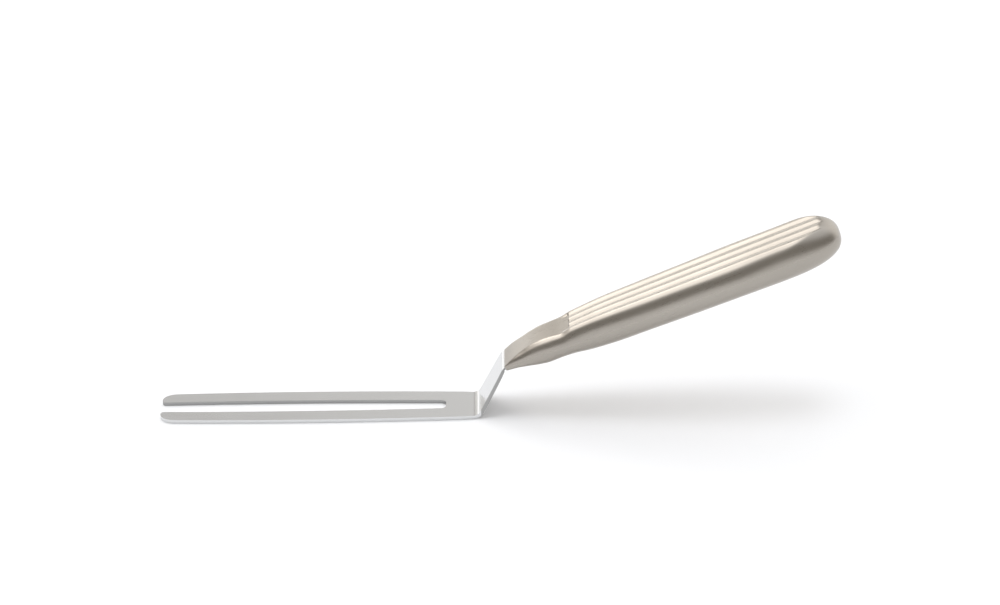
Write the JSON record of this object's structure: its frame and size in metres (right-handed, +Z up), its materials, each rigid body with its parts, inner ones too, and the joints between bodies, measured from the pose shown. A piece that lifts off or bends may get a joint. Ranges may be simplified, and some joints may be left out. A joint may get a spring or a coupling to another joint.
{
  "type": "plating fork",
  "caption": "Cranked plating fork with a flat slotted sheet blade, blunt tines, a steep riser and a hollow satin steel handle with a reeded top.",
  "frame": {"origin": "middle of the fork's bounding box, at the level of the blade's underside", "axes": "+X from the tine tips to the butt of the handle, +Y across the fork, +Z up from the blade's underside"},
  "size_m": [0.252, 0.024, 0.0771],
  "materials": {
    "blade_steel": "satin to semi-polished, neutral grey",
    "handle_steel": "fine satin, slightly warm",
    "filler": "dull cured cement, hidden inside the handle"
  },
  "bodies": {
    "root": {"fork_blade": "blade_steel", "handle_top_shell": "handle_steel", "handle_bottom_shell": "handle_steel", "tang_cement": "filler"}
  },
  "joints": []
}
